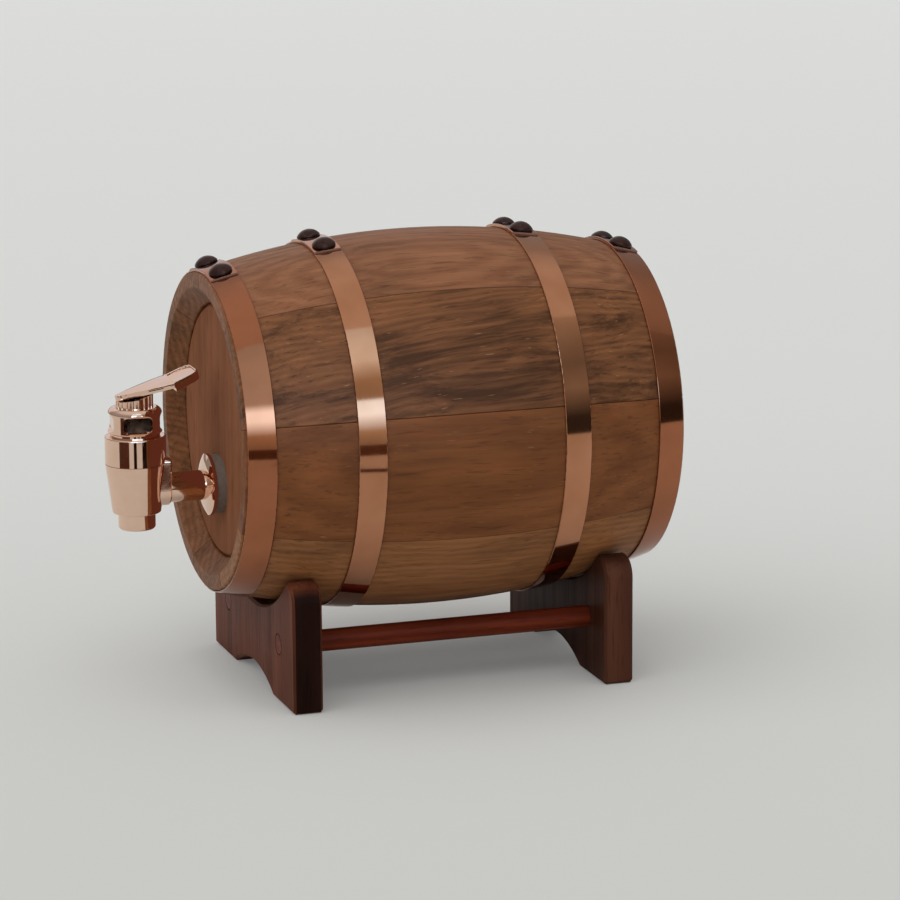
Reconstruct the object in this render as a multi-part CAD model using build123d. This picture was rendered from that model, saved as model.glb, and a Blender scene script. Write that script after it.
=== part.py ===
from build123d import *
from math import asin, cos, degrees, pi, radians, sin, sqrt, tan
import os

# Oak cask liquor dispenser: a small stave-built cask that lies in a two-plank stand, with a
# lever tap through its front head and a bung in its rear head.
#
# Millimetres. The stand's feet are on Z = 0, the cask's axis runs along Y, and the tap is at -Y.
# The origin is on the floor, below the middle of the overall length (tap nose to bung knob).

# ---- cask: nine staves that share one bowed outline
cask_length = 150.0
end_radius = 52.5            # outside of the staves at either end
belly_radius = 63.0          # outside of the staves at the middle
belly_wall = 12.0            # stave thickness at the middle
stave_count = 9
first_seam = 12.0            # degrees from +X up towards +Z
seam_gap = 0.12              # hairline between neighbouring staves
seam_round = 0.3             # eased outer corners of each stave
chime_land = 4.8             # flat ring at the end of the staves
chime_round = 0.7
head_inset = 5.5             # stave end to the head; the chime bevel is at 45 degrees

# ---- croze joint between the staves and the heads
croze_lip = 1.3              # head's outer face to the groove
croze_width = 4.0
croze_depth = 3.0
head_thickness = 9.0
head_bevel = 1.1             # outer edge of the head, beside the lip
head_back_bevel = 4.0
head_fit = 0.1

# ---- hoops: lapped bands, each held by two dome nails
hoop_width = 9.2
hoop_thickness = 0.6
hoop_edge = 0.25             # rounding along the band's edges
hoop_fit = 0.05
end_hoop_inset = 5.3         # stave end to the middle of the end hoop
belly_hoop_inset = 40.1      # stave end to the middle of the belly hoop
lap_turns = {                # middle of each lap, degrees from +X up towards +Z
    "front_end": 91.0,
    "front_belly": 90.0,
    "rear_belly": 94.0,
    "rear_end": 93.0,
}
nail_spacing = 17.4          # between the two nails of a lap, round the hoop
lap_margin = 4.5             # nail to the end of the lap
joggle_length = 3.2          # ramp that lifts the band over its other end
nail_head_radius = 3.9
nail_head_height = 2.6
nail_head_edge = 0.5         # upright rim of the dome
nail_shank_radius = 0.9
nail_shank_length = 6.1
nail_fit = 0.03

# ---- bung in the rear head
bung_rise = 22.0             # cask axis up to the bung
bung_radius = 7.5            # at the head's outer face
bung_taper = 0.05            # radius lost per millimetre of depth
bung_tip = 2.0               # past the head's inner face
bung_fit = 0.04
knob_radius = 9.0
knob_length = 10.0
knob_waist = 1.1             # depth of the finger groove
knob_groove = 5.6            # width of the finger groove
knob_round = 1.5
knob_stand_off = 0.3         # knob to the head's face

# ---- tap, laid out from the crossing of its upright axis and its shank's axis
tap_drop = 18.0              # cask axis down to the shank
tap_reach = 28.4             # head's outer face to the tap's upright axis
body_radius = 10.1
rim_height = 18.6            # top of the body
rim_round = 0.5
seam_height = 9.4            # body's shoulder, where the shroud meets it
seam_line = 0.15             # open line between the body and the shroud
chamber_radius = 5.7
chamber_top = 11.0
socket_radius = 8.1          # threaded socket for the cap
seat_drop = 3.6              # chamber floor, which is the valve seat
seat_radius = 3.4
seat_length = 3.0
outlet_radius = 4.3
spout_radius = 6.15
spout_land_radius = 6.35     # plain land that the shroud slides onto
spout_land_drop = 7.6        # end of the land, below the shroud's foot
spout_drop = 12.9            # spout's mouth
spout_round = 1.0

shroud_drop = 7.3            # bottom of the conical shroud
shroud_foot_radius = 8.0
shroud_wall = 0.9
shroud_round = 0.5
shroud_fit = 0.1

boss_radius = 5.8            # U-shaped boss behind the shank
boss_height = 11.0
boss_reach = 10.8            # upright axis to the boss's face
boss_corner = 1.6
boss_edge = 0.5

shank_radius = 5.0
shank_bore = 3.0
flange_radius = 10.2
flange_rim = 1.1
flange_dome = 1.4            # rise of the flange from its rim to the shank
flange_foot_radius = 5.9     # inner edge of the dome
tail_radius = 6.0            # threaded tail through the head
tail_fit = 0.2
gasket_radius = 9.8
gasket_thickness = 3.4
washer_radius = 9.2
washer_thickness = 1.5
nut_across_flats = 20.0
nut_thickness = 6.0
nut_chamfer = 1.0
tail_end = 1.5               # tail past the nut
thread_fit = 0.1

# ---- cap: plug, grip and ribbed collar
plug_length = 6.1
plug_wall = 1.4
grip_radius = 9.0
grip_foot_radius = 8.2
grip_foot_height = 0.9
cap_height = 9.6             # body's rim to the floor inside the collar
cap_gap = 0.1                # body's rim to the cap
grip_shoulder = 2.2          # rounding of the grip's top
grip_base_round = 0.6
cap_roof = 2.2
flat_count = 4               # finger flats round the grip
flat_turn = -6.0             # degrees from +X
flat_reach = 7.65            # cap's axis to a flat
flat_height = 4.7
flat_corner = 1.2
flat_slope = 35.0            # degrees, sides of the flat's hollow
flat_rise = 4.7              # body's rim to the middle of the flats
collar_radius = 5.75
collar_bore = 5.1
collar_height = 3.1          # on the cap's axis
collar_slope = 10.5          # degrees, top of the collar, which rises towards the cask
rib_count = 18
rib_radius = 0.42

# ---- valve
stem_radius = 1.5
stem_fit = 0.05
ring_wire = 0.6              # radius of the O-ring's section
stem_shoulder_radius = 4.9
stem_shoulder_height = 4.6   # above the shank's axis
stem_shoulder_thickness = 1.4
seal_radius = 4.7
seal_thickness = 2.2
seal_nose_radius = 3.05
seal_nose = 0.9
seal_fit = 0.05
spigot_radius = 1.0
spigot_length = 1.7
spring_radius = 3.9
spring_wire = 0.4
spring_turns = 5

# ---- lever
pin_rise = 2.08              # floor inside the collar to the lever's pin
pin_radius = 0.65
pin_fit = 0.03
press_fit = 0.01
cam_gap = 0.08               # cam to the floor inside the collar
cam_base = 2.5               # radius of the cam's base circle, the lift per radian
lever_travel = 25.0          # degrees, from shut to fully pressed
ear_gap = 0.1                # stem to the lever's ear
ear_thickness = 0.9
ear_front = 2.6              # pin to the front of the cam's flat
lever_slope = 13.5           # degrees, plate above level
plate_above_pin = 1.6        # pin to the plate's lower edge, square to the plate
plate_depth = 1.7            # depth of the plate's side walls
lever_skin = 0.8             # thickness of the lever's top
nose_reach = 6.0             # pin to the nose
nose_radius = 1.7
shoulder_reach = 13.0
shoulder_half_width = 7.3
shoulder_round = 0.7
side_bulge = 0.7             # how far the sides bow out between the nose and the shoulders
tail_half_width = 6.5
tail_step = 0.8              # along the lever, from the shoulder to the tail's side
tail_reach = 22.3
tail_corner = 3.6
tail_curl = 9.0              # degrees, tail above the plate
skirt_depth = 3.0            # depth of the tail's side walls
side_wall = 0.9
dish_rim = 0.9
dish_depth = 0.6

# ---- stand
floor_gap = 23.0             # floor to the cask's belly
plank_thickness = 10.0
plank_inset = 16.1           # stave end to a plank's outer face
foot_width = 24.8
horn_turn = 43.1             # degrees round the cask, from its lowest line to the top of a horn
horn_width = 8.1             # cradle to the plank's side, at the top of a horn
horn_round = 7.0
foot_round = 1.5
arch_height = 6.0
plank_edge = 0.8             # eased edges
cradle_gap = 0.3             # cask to the cradle, at the plank's inner face
dowel_radius = 3.65
dowel_inset = 17.8           # plank's side to the rail's middle
dowel_height = 19.6
dowel_fit = 0.02
dowel_chamfer = 0.4

# ---- worked out from the values above
half_length = cask_length / 2
bow_rise = belly_radius - end_radius
bow_radius = (half_length ** 2 + bow_rise ** 2) / (2 * bow_rise)
head_radius = end_radius - chime_land - head_inset
head_face = half_length - head_inset
groove_face = head_face - croze_lip
knob_top = head_face + knob_length
nose_of_tap = head_face + tap_reach + body_radius
cask_y = (nose_of_tap - max(half_length, knob_top)) / 2
axis_height = belly_radius + floor_gap
cask_at = Location((0, cask_y, axis_height))
tap_at = Location((0, cask_y - head_face - tap_reach, axis_height - tap_drop))
cap_floor = rim_height + cap_height
pin_height = cap_floor + pin_rise
plank_face = half_length - plank_inset
cradle_station = plank_face - plank_thickness
cradle_radius = belly_radius - bow_radius + sqrt(bow_radius ** 2 - cradle_station ** 2) + cradle_gap
horn_height = axis_height - cradle_radius * cos(radians(horn_turn))
plank_half_width = cradle_radius * sin(radians(horn_turn)) + horn_width
dowel_spread = plank_half_width - dowel_inset


# ------------------------------------------------------------------ shared helpers
def outline(*curves):
    """Flat face inside a closed run of curves."""
    return make_face(Curve() + [*curves])


def rounded(face, radius, *corners):
    """The face with its corners nearest to the given points rounded."""
    picked = [face.vertices().sort_by_distance(Vector(*corner))[0] for corner in corners]
    return fillet(picked, radius)


def lathe(face):
    """Solid turned about +Z from a face drawn as (radius, height)."""
    return revolve(Plane.XZ * face, Axis.Z)


def facing_back(x, y, z):
    """Plane whose normal is +Y, with its local x along +X."""
    return Plane(origin=(x, y, z), x_dir=(1, 0, 0), z_dir=(0, 1, 0))


def spun(shape, turn):
    """The shape turned about the cask's axis by degrees from +X up towards +Z."""
    return Rot(0, -turn, 0) * shape


def bow_point(station, offset):
    """(radius, y) at the given station along the axis, offset from the staves' bowed outline."""
    lean = asin(station / bow_radius)
    reach = bow_radius + offset
    return (belly_radius - bow_radius + reach * cos(lean), reach * sin(lean))


def bow_plane(station, turn, offset):
    """Plane that lies on the cask there, with its normal square to the staves' outline."""
    radius, y = bow_point(station, offset)
    lean = asin(station / bow_radius)
    angle = radians(turn)
    return Plane(
        origin=(radius * cos(angle), y, radius * sin(angle)),
        z_dir=(cos(lean) * cos(angle), sin(lean), cos(lean) * sin(angle)),
    )


# ------------------------------------------------------------------ cask
def stave_section():
    """Section along a stave, as (radius, y): bowed back, chime bevel, croze and hollowed face."""
    rear = [
        (head_radius, groove_face - croze_width),
        (head_radius + croze_depth, groove_face - croze_width),
        (head_radius + croze_depth, groove_face),
        (head_radius, groove_face),
        (head_radius, head_face),
        (end_radius - chime_land, half_length),
        (end_radius, half_length),
    ]
    front = [(radius, -y) for radius, y in reversed(rear)]
    section = outline(
        Polyline(*rear),
        ThreePointArc(rear[-1], (belly_radius, 0), front[0]),
        Polyline(*front),
        ThreePointArc(front[-1], (belly_radius - belly_wall, 0), rear[0]),
    )
    return rounded(section, chime_round, rear[-1], rear[-2], front[0], front[1])


def stave_blank():
    """One stave below the seam at +X, with its two outer corners eased."""
    gap_turn = degrees(seam_gap / belly_radius)
    blank = revolve(stave_section(), Axis.Y, revolution_arc=360 / stave_count - gap_turn)
    seams = blank.edges().sort_by(SortBy.LENGTH)[-2:]
    return spun(fillet(seams, seam_round), -gap_turn / 2)


def staves(pilot_holes):
    """The staves by name, each with the pilot holes that fall in it."""
    pitch = 360 / stave_count
    blank = stave_blank()
    made = {}
    for number in range(1, stave_count + 1):
        stave = spun(blank, first_seam + number * pitch)
        holes = [hole for hole in pilot_holes if (stave & hole)]
        made[f"stave_{number}"] = stave - holes if holes else stave
    return made


def head_blank():
    """Rear head: a disc whose thinned edge sits in the croze."""
    edge = head_radius - head_fit
    tongue = (groove_face - head_fit, groove_face - croze_width + head_fit)
    back = head_face - head_thickness
    section = outline(
        Polyline(
            (0, head_face),
            (edge - head_bevel, head_face),
            (edge, head_face - head_bevel),
            (edge, tongue[0]),
            (edge + croze_depth, tongue[0]),
            (edge + croze_depth, tongue[1]),
            (edge, tongue[1]),
            (edge - head_back_bevel, back),
            (0, back),
            close=True,
        )
    )
    return revolve(section, Axis.Y)


def front_head():
    """Front head, bored for the tap's threaded tail."""
    bore = facing_back(0, -head_face, -tap_drop) * Cylinder(tail_radius + tail_fit, 3 * head_thickness)
    return mirror(head_blank(), Plane.XZ) - bore


def rear_head():
    """Rear head, with the tapered hole that the bung seats in."""
    return head_blank() - facing_back(0, head_face, bung_rise) * bung_cone(0, head_thickness)


def bung_cone(slack, depth):
    """Tapered plug below z = 0, smaller than the bung's hole by the slack all round."""
    above = head_thickness
    radius_top = bung_radius - slack + above * bung_taper
    radius_bottom = bung_radius - slack - depth * bung_taper
    cone = Cone(radius_bottom, radius_top, depth + above, align=(Align.CENTER, Align.CENTER, Align.MIN))
    return Pos(0, 0, -depth) * cone


def bung():
    """Turned bung: tapered plug, and a knob with a finger groove."""
    length = head_thickness + bung_tip
    plug = bung_cone(bung_fit, length) & Pos(0, 0, knob_stand_off - length / 2) * Box(
        4 * knob_radius, 4 * knob_radius, length
    )
    groove = (knob_stand_off + knob_length) / 2
    reach = knob_groove / 2
    knob = outline(
        Line((0, knob_stand_off), (knob_radius, knob_stand_off)),
        Line((knob_radius, knob_stand_off), (knob_radius, groove - reach)),
        ThreePointArc(
            (knob_radius, groove - reach),
            (knob_radius - knob_waist, groove),
            (knob_radius, groove + reach),
        ),
        Line((knob_radius, groove + reach), (knob_radius, knob_length)),
        Line((knob_radius, knob_length), (0, knob_length)),
        Line((0, knob_length), (0, knob_stand_off)),
    )
    knob = rounded(knob, knob_round, (knob_radius, knob_length))
    return facing_back(0, head_face, bung_rise) * (plug + lathe(knob))


# ------------------------------------------------------------------ hoops and nails
def band_section(station, offset, thickness):
    """Section of a band that follows the bow, as (radius, y), with its edges rounded."""
    ends = (station - hoop_width / 2, station + hoop_width / 2)
    inner = [bow_point(at, offset) for at in (ends[0], station, ends[1])]
    outer = [bow_point(at, offset + thickness) for at in (ends[1], station, ends[0])]
    section = outline(
        ThreePointArc(*inner),
        Line(inner[2], outer[0]),
        ThreePointArc(*outer),
        Line(outer[2], inner[0]),
    )
    return fillet(section.vertices(), min(hoop_edge, 0.4 * thickness))


def turn_of(length, station):
    """Degrees round the hoop that a length along it takes up."""
    return degrees(length / bow_point(station, hoop_thickness)[0])


def hoop(station, lap_turn):
    """A band whose one end laps over the other, stepping up over it by a short ramp."""
    lower = band_section(station, hoop_fit, hoop_thickness)
    upper = band_section(station, hoop_fit + hoop_thickness / 2, 1.5 * hoop_thickness)
    sunk = band_section(station, hoop_fit + hoop_thickness / 8, hoop_thickness / 2)
    half_lap = turn_of(nail_spacing / 2 + lap_margin, station)
    ramp = turn_of(joggle_length, station)
    lap = spun(revolve(upper, Axis.Y, revolution_arc=2 * half_lap), lap_turn + half_lap)
    joggle = loft(
        [spun(upper, lap_turn + half_lap), spun(sunk, lap_turn + half_lap + ramp)],
        ruled=True,
    )
    holes = [place * nail_hole() for place in nail_places(station, lap_turn)]
    return revolve(lower, Axis.Y) + lap + joggle - holes


def nail_places(station, lap_turn):
    """Planes under the heads of the two nails of a lap."""
    step = turn_of(nail_spacing / 2, station)
    seat = hoop_fit + 2 * hoop_thickness + nail_fit
    return [bow_plane(station, lap_turn + side * step, seat) for side in (-1, 1)]


def nail():
    """Dome-headed nail, its head above z = 0."""
    rise = nail_head_height - nail_head_edge
    dome = (nail_head_radius ** 2 + rise ** 2) / (2 * rise)
    lean = asin(nail_head_radius / dome) / 2
    top = outline(
        Line((0, 0), (nail_head_radius, 0)),
        Line((nail_head_radius, 0), (nail_head_radius, nail_head_edge)),
        ThreePointArc(
            (nail_head_radius, nail_head_edge),
            (dome * sin(lean), nail_head_height - dome + dome * cos(lean)),
            (0, nail_head_height),
        ),
        Line((0, nail_head_height), (0, 0)),
    )
    tip = nail_shank_radius
    shank = outline(
        Polyline(
            (0, 0),
            (nail_shank_radius, 0),
            (nail_shank_radius, -nail_shank_length),
            (0, -nail_shank_length - 2 * tip),
            close=True,
        )
    )
    return lathe(top) + lathe(shank)


def nail_hole():
    """Hole for a nail's shank, below the head and past its point."""
    depth = nail_shank_length + 2.5 * nail_shank_radius
    return Pos(0, 0, -depth / 2) * Cylinder(nail_shank_radius + nail_fit, depth)


# ------------------------------------------------------------------ tap body
def boss_outline(spread):
    """U-shaped face round the shank, as (x, z), grown by the spread."""
    half = boss_radius + spread
    top = boss_height + spread
    shape = Circle(half) + Pos(0, top / 2) * Rectangle(2 * half, top)
    return rounded(shape, boss_corner + spread, (-half, top), (half, top))


def boss(spread, reach):
    """The boss as a block from the tap's upright axis back to the given reach."""
    return extrude(Plane.XZ * boss_outline(spread), -reach)


def shank():
    """Pipe from the body to the head, with a domed flange and a tail through the head."""
    back = tap_reach - gasket_thickness
    rim = back - flange_rim
    crown = rim - flange_dome
    end = tap_reach + head_thickness + washer_thickness + nut_thickness + tail_end
    middle = (flange_foot_radius + flange_radius) / 2
    face = outline(
        Polyline(
            (flange_radius, rim),
            (flange_radius, back),
            (tail_radius, back),
            (tail_radius, end),
            (0, end),
            (0, 0),
            (shank_radius, 0),
            (shank_radius, crown),
            (flange_foot_radius, crown),
        ),
        ThreePointArc((flange_foot_radius, crown), (middle, crown + flange_dome / 3), (flange_radius, rim)),
    )
    return facing_back(0, 0, 0) * lathe(face)


def tap_body():
    """One casting: upper cup, valve chamber, spout, boss and shank."""
    shoulder = seam_height
    floor = -shroud_drop + shroud_wall + shroud_fit
    gap = shroud_wall + shroud_fit
    face = outline(
        Polyline(
            (0, -spout_drop),
            (spout_radius, -spout_drop),
            (spout_radius, -spout_land_drop),
            (spout_land_radius, -spout_land_drop),
            (spout_land_radius, floor),
            (shroud_foot_radius - gap, floor),
            (body_radius - gap, shoulder),
            (body_radius, shoulder),
            (body_radius, rim_height),
            (0, rim_height),
            close=True,
        )
    )
    face = rounded(face, spout_round, (spout_radius, -spout_drop))
    face = rounded(face, rim_round, (body_radius, rim_height))
    solid_boss = boss(0, boss_reach)
    solid_boss = chamfer(solid_boss.faces().sort_by(Axis.Y)[-1].edges(), boss_edge)
    cavity = outline(
        Polyline(
            (0, -2 * spout_drop),
            (outlet_radius, -2 * spout_drop),
            (outlet_radius, -seat_drop - seat_length),
            (seat_radius, -seat_drop - seat_length),
            (seat_radius, -seat_drop),
            (chamber_radius, -seat_drop),
            (chamber_radius, chamber_top),
            (socket_radius, chamber_top),
            (socket_radius, 2 * rim_height),
            (0, 2 * rim_height),
            close=True,
        )
    )
    bore_length = 2 * (tap_reach + head_thickness + nut_thickness)
    bore = facing_back(0, bore_length / 2, 0) * Cylinder(shank_bore, bore_length)
    return lathe(face) + solid_boss + shank() - lathe(cavity) - bore


def outlet_shroud():
    """Plated cone over the lower body, slotted from its top edge to pass the boss."""
    top = seam_height - seam_line
    bottom = -shroud_drop
    lip = spout_land_radius + shroud_fit
    foot = shroud_foot_radius - shroud_wall
    face = outline(
        Polyline(
            (body_radius, top),
            (shroud_foot_radius, bottom),
            (lip, bottom),
            (lip, bottom + shroud_wall),
            (foot, bottom + shroud_wall),
            (body_radius - shroud_wall, top),
            close=True,
        )
    )
    face = rounded(face, shroud_round, (shroud_foot_radius, bottom))
    return lathe(face) - boss(shroud_fit, 2 * boss_reach)


# ------------------------------------------------------------------ cap
def flat_tool():
    """Cutter for one finger flat: a round-cornered hollow with sloping sides and a flat floor."""
    face = Plane(origin=(flat_reach, 0, rim_height + flat_rise), x_dir=(0, 1, 0), z_dir=(1, 0, 0))
    chord = 2 * sqrt(grip_radius ** 2 - flat_reach ** 2)
    shape = RectangleRounded(chord, flat_height, flat_corner)
    return extrude(face * shape, grip_radius - flat_reach + flat_corner, taper=-flat_slope)


def collar():
    """Ribbed ring round the lever's ears, cut to the slope of the lever above it."""
    blank = Circle(collar_radius)
    ribs = [loc * Circle(rib_radius) for loc in PolarLocations(collar_radius, rib_count)]
    ring = extrude(blank + ribs - Circle(collar_bore), 2 * collar_height)
    above = Rot(collar_slope, 0, 0) * Box(
        4 * grip_radius, 4 * grip_radius, 4 * collar_height, align=(Align.CENTER, Align.CENTER, Align.MIN)
    )
    return Pos(0, 0, cap_floor) * (ring - Pos(0, 0, collar_height) * above)


def tap_cap():
    """Screwed cap: plug, grip with finger flats, guide for the stem and ribbed collar."""
    foot = rim_height + cap_gap
    grip_base = foot + grip_foot_height
    plug = socket_radius - thread_fit
    face = outline(
        Polyline(
            (0, cap_floor),
            (grip_radius, cap_floor),
            (grip_radius, grip_base),
            (grip_foot_radius, grip_base),
            (grip_foot_radius, foot),
            (plug, foot),
            (plug, rim_height - plug_length),
            (0, rim_height - plug_length),
            close=True,
        )
    )
    face = rounded(face, grip_shoulder, (grip_radius, cap_floor))
    face = rounded(face, grip_base_round, (grip_radius, grip_base))
    roof = cap_floor - cap_roof
    groove = ring_groove()
    hollow = outline(
        Polyline(
            (0, 0),
            (plug - plug_wall, 0),
            (plug - plug_wall, roof),
            (stem_radius + stem_fit, roof),
            (stem_radius + stem_fit, groove[0]),
            (stem_radius + 2 * ring_wire, groove[0]),
            (stem_radius + 2 * ring_wire, groove[1]),
            (stem_radius + stem_fit, groove[1]),
            (stem_radius + stem_fit, 2 * cap_floor),
            (0, 2 * cap_floor),
            close=True,
        )
    )
    flats = [Rot(0, 0, flat_turn + 360 / flat_count * step) * flat_tool() for step in range(flat_count)]
    return lathe(face) - flats - lathe(hollow) + collar()


def ring_groove():
    """Lowest and highest level of the O-ring's groove, in the middle of the cap's roof."""
    middle = cap_floor - cap_roof / 2
    return (middle - ring_wire, middle + ring_wire)


def stem_o_ring():
    """O-ring in the cap, round the stem."""
    low, high = ring_groove()
    wire = ring_wire - stem_fit
    return Pos(0, 0, (low + high) / 2) * Torus(stem_radius + stem_fit + wire, wire)


# ------------------------------------------------------------------ fastening to the head
def flange_gasket():
    """Rubber gasket between the flange and the head."""
    ring = Circle(gasket_radius) - Circle(tail_radius + thread_fit)
    return extrude(facing_back(0, tap_reach - gasket_thickness, 0) * ring, gasket_thickness)


def inner_washer():
    """Rubber washer behind the head."""
    ring = Circle(washer_radius) - Circle(tail_radius + thread_fit)
    return extrude(facing_back(0, tap_reach + head_thickness, 0) * ring, washer_thickness)


def lock_nut():
    """Hexagon nut on the tail, inside the cask."""
    corner = nut_across_flats / sqrt(3)
    blank = extrude(RegularPolygon(corner, 6), nut_thickness)
    crown = Cone(corner + nut_thickness - nut_chamfer, corner - nut_chamfer, nut_thickness)
    blank = blank & Pos(0, 0, nut_thickness / 2) * crown
    blank = blank - Cylinder(tail_radius + thread_fit, 4 * nut_thickness)
    return facing_back(0, tap_reach + head_thickness + washer_thickness, 0) * blank


# ------------------------------------------------------------------ valve
def valve_stem():
    """Rod with a round eye at the top, a spring shoulder and a spigot for the seal."""
    foot = -seat_drop + seal_fit + seal_thickness
    shoulder = stem_shoulder_height
    face = outline(
        Polyline(
            (0, pin_height + stem_radius),
            (0, foot - spigot_length),
            (spigot_radius, foot - spigot_length),
            (spigot_radius, foot),
            (stem_radius, foot),
            (stem_radius, shoulder),
            (stem_shoulder_radius, shoulder),
            (stem_shoulder_radius, shoulder + stem_shoulder_thickness),
            (stem_radius, shoulder + stem_shoulder_thickness),
            (stem_radius, pin_height),
        ),
        ThreePointArc(
            (stem_radius, pin_height),
            (stem_radius * cos(pi / 4), pin_height + stem_radius * sin(pi / 4)),
            (0, pin_height + stem_radius),
        ),
    )
    return lathe(face) - cross_bore(pin_radius + pin_fit)


def cross_bore(radius):
    """Cylinder along X at the lever's pin."""
    return Pos(0, 0, pin_height) * Rot(0, 90, 0) * Cylinder(radius, 4 * body_radius)


def valve_seal():
    """Silicone plug on the stem's spigot, with a nose that enters the seat."""
    foot = -seat_drop + seal_fit
    face = outline(
        Polyline(
            (0, foot - seal_nose),
            (seal_nose_radius, foot - seal_nose),
            (seal_nose_radius, foot),
            (seal_radius, foot),
            (seal_radius, foot + seal_thickness),
            (spigot_radius + press_fit, foot + seal_thickness),
            (spigot_radius + press_fit, foot + seal_thickness - spigot_length - press_fit),
            (0, foot + seal_thickness - spigot_length - press_fit),
            close=True,
        )
    )
    return lathe(face)


def return_spring():
    """Coil between the stem's shoulder and the cap's roof."""
    low = stem_shoulder_height + stem_shoulder_thickness + spring_wire + pin_fit
    high = cap_floor - cap_roof - spring_wire - pin_fit
    path = Helix(pitch=(high - low) / spring_turns, height=high - low, radius=spring_radius)
    start = Plane(origin=path @ 0, z_dir=path % 0)
    return Pos(0, 0, low) * sweep(start * Circle(spring_wire), path=path, is_frenet=True)


# ------------------------------------------------------------------ lever
def lever_plan(inset):
    """The lever seen from above, as (x, along), drawn in from its edge by the inset."""
    half_nose = nose_radius - inset
    nose_centre = -nose_reach + nose_radius
    shoulder_y = shoulder_reach - inset
    shoulder_x = shoulder_half_width - inset
    tail_x = tail_half_width - inset
    tail_y = tail_reach - inset
    side = Vector(shoulder_x - half_nose, shoulder_y - nose_centre)
    out = Vector(side.Y, -side.X).normalized() * side_bulge
    middle = Vector(half_nose, nose_centre) + side * 0.5 + out
    right = [
        ThreePointArc((half_nose, nose_centre), (middle.X, middle.Y), (shoulder_x, shoulder_y)),
        Polyline((shoulder_x, shoulder_y), (tail_x, shoulder_y + tail_step), (tail_x, tail_y), (0, tail_y)),
    ]
    nose = ThreePointArc((-half_nose, nose_centre), (0, nose_centre - half_nose), (half_nose, nose_centre))
    left = [mirror(curve, Plane.YZ) for curve in right]
    plan = outline(nose, *right, *left)
    plan = rounded(plan, tail_corner - inset, (tail_x, tail_y), (-tail_x, tail_y))
    return rounded(plan, shoulder_round, (shoulder_x, shoulder_y), (-shoulder_x, shoulder_y))


def lever_band(top, bottom, start, end):
    """Side view of a layer of the lever: levels above its underside, from start to end along it."""
    corner = (shoulder_reach, 0)
    curl = radians(tail_curl)

    def bent(along, level):
        if along <= corner[0]:
            return (along, level)
        run = along - corner[0]
        return (corner[0] + run * cos(curl) - level * sin(curl), run * sin(curl) + level * cos(curl))

    stops = sorted({start, end, *[corner[0]] * (start < corner[0] < end)})
    low = [bent(along, bottom) for along in stops]
    high = [bent(along, top) for along in reversed(stops)]
    return outline(Polyline(*low, *high, close=True))


def lever_layer(plan, top, bottom, start, end):
    """Part of the lever that lies inside the plan, between two levels."""
    wide = 3 * shoulder_half_width
    side = extrude(Plane.YZ * lever_band(top, bottom, start, end), wide / 2, both=True)
    return extrude(Pos(0, 0, -wide) * plan, 2 * wide) & side


def cam_point(turn):
    """(y, z) from the pin, on the involute that meets the collar's floor when turned that far."""
    drop = pin_rise - cam_gap + cam_base * turn
    return (
        cam_base * cos(turn) + drop * sin(turn),
        cam_base * sin(turn) - drop * cos(turn),
    )


def cam_outline():
    """Side view of an ear, as (y, z) from the pin: flat, then an involute, up to the plate."""
    travel = radians(lever_travel)
    steps = 6
    curve = [cam_point(travel * step / steps) for step in range(steps + 1)]
    drop = pin_rise - cam_gap
    slope = radians(lever_slope)
    level = plate_above_pin + plate_depth - lever_skin / 2

    def in_skin(y):
        return (y, level / cos(slope) + y * tan(slope))

    heel = in_skin(curve[-1][0])
    toe = in_skin(-ear_front)
    return outline(
        Spline(*curve),
        Polyline(curve[-1], heel, toe, (-ear_front, -drop), curve[0]),
    )


def tap_lever():
    """Pressed lever: tapered channel, dished finger rest and two cam ears."""
    top = plate_depth
    rest_start = shoulder_reach + side_wall
    rest_roof = top - dish_depth - lever_skin
    plan = lever_plan(0)
    inside = lever_plan(side_wall)
    lever = lever_layer(plan, top, 0, -nose_reach, shoulder_reach)
    lever += lever_layer(plan, top, top - skirt_depth, shoulder_reach, tail_reach)
    lever -= lever_layer(inside, top - lever_skin, -plate_depth, -nose_reach, shoulder_reach - side_wall)
    lever -= lever_layer(inside, rest_roof, -skirt_depth, rest_start, tail_reach)
    lever -= lever_layer(lever_plan(dish_rim), 2 * top, top - dish_depth, rest_start, tail_reach)
    lever = Rot(lever_slope, 0, 0) * Pos(0, 0, plate_above_pin) * lever
    ear = extrude(Plane.YZ * cam_outline(), ear_thickness / 2, both=True)
    middle = stem_radius + ear_gap + ear_thickness / 2
    lever += [Pos(side * middle, 0, 0) * ear for side in (-1, 1)]
    return Pos(0, 0, pin_height) * lever - cross_bore(pin_radius + press_fit)


def lever_pin():
    """Pin through the lever's ears and the stem's eye."""
    length = 2 * (stem_radius + ear_gap + ear_thickness)
    return Pos(0, 0, pin_height) * Rot(0, 90, 0) * Cylinder(pin_radius, length)


# ------------------------------------------------------------------ stand
def cradle():
    """Plank from y = 0 back, with horns, a round cradle for the cask and an arch between its feet."""
    arch_half = plank_half_width - foot_width
    arch = (arch_half ** 2 + arch_height ** 2) / (2 * arch_height)
    face = Pos(0, horn_height / 2) * Rectangle(2 * plank_half_width, horn_height)
    face -= Pos(0, axis_height) * Circle(cradle_radius)
    face -= Pos(0, arch_height - arch) * Circle(arch)
    top = [(side * plank_half_width, horn_height) for side in (-1, 1)]
    feet = [(side * plank_half_width, 0) for side in (-1, 1)]
    face = rounded(face, horn_round, *top)
    face = rounded(face, foot_round, *feet)
    plank = extrude(Plane.XZ * face, -plank_thickness)
    ends = plank.faces().sort_by(Axis.Y)
    plank = chamfer(ends[0].edges() + ends[-1].edges(), plank_edge)
    for side in (-1, 1):
        middle = facing_back(side * dowel_spread, plank_thickness / 2, dowel_height)
        plank -= middle * Cylinder(dowel_radius + dowel_fit, 2 * plank_thickness)
    return plank


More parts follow.
